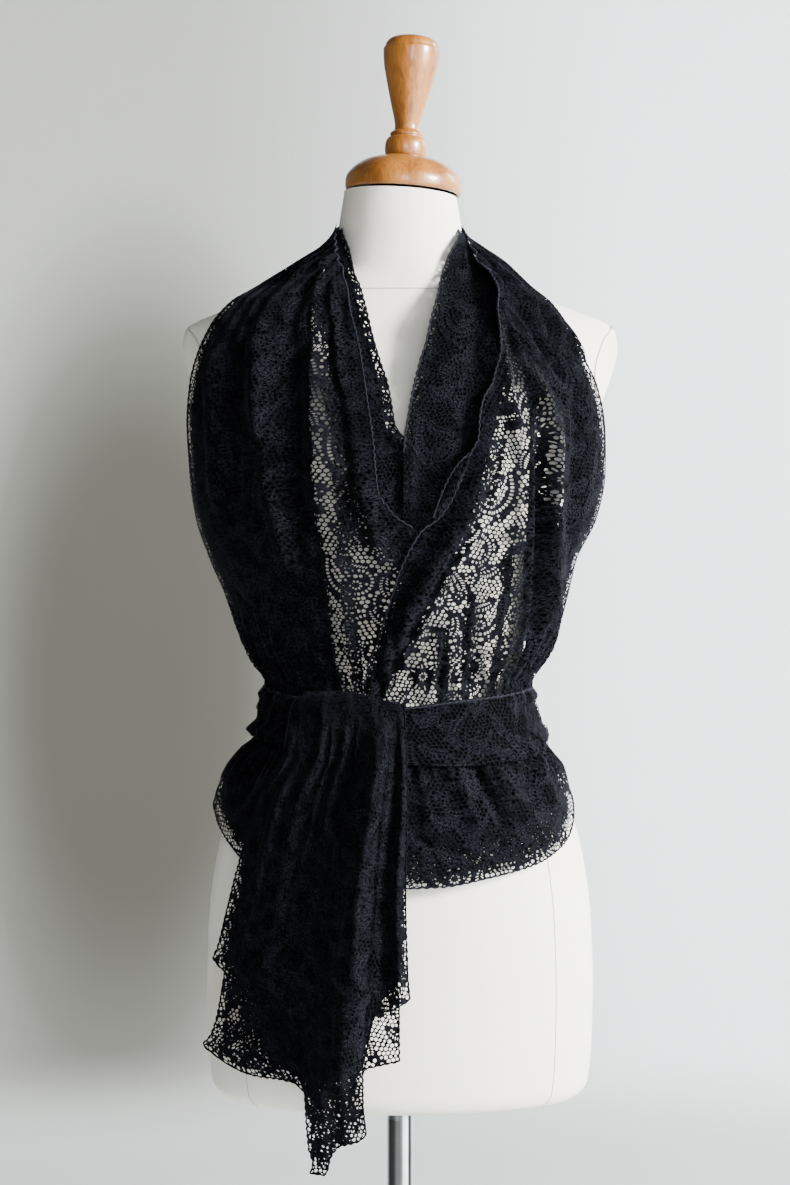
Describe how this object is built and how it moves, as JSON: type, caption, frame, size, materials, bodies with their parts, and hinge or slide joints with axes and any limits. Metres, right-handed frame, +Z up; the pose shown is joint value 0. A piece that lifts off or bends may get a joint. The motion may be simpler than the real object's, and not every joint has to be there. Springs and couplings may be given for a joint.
{
  "type": "lace shawl on a dress form",
  "caption": "Long stretch-lace shawl worn as a halter wrap with a cowl, a waist sash and a hanging tail, on a limbless dress form with a turned wooden cap and a round-based pole stand.",
  "frame": {"origin": "centre of the base plate's underside, on the floor", "axes": "+Z up along the pole, -Y to the front of the form, +X to the viewer's right from the front"},
  "size_m": [0.3992, 0.38, 1.6161],
  "materials": {
    "lace": "matte black stretch lace, all-over floral net",
    "linen": "off-white fine linen cover",
    "oak": "honey-coloured varnished wood",
    "chrome": "polished",
    "base_steel": "satin off-white paint"
  },
  "bodies": {
    "root": {"neck_band": "lace", "front_left": "lace", "front_right": "lace", "cowl_left": "lace", "cowl_right": "lace", "sash_front": "lace", "sash_back": "lace", "peplum_left": "lace", "peplum_right": "lace", "tail_front": "lace", "tail_back": "lace", "tail_tip": "lace", "form_body": "linen", "neck_cap": "oak", "finial": "oak", "stand_base": "base_steel", "stand_socket": "chrome", "stand_pole": "chrome", "stand_flange": "chrome"}
  },
  "joints": []
}
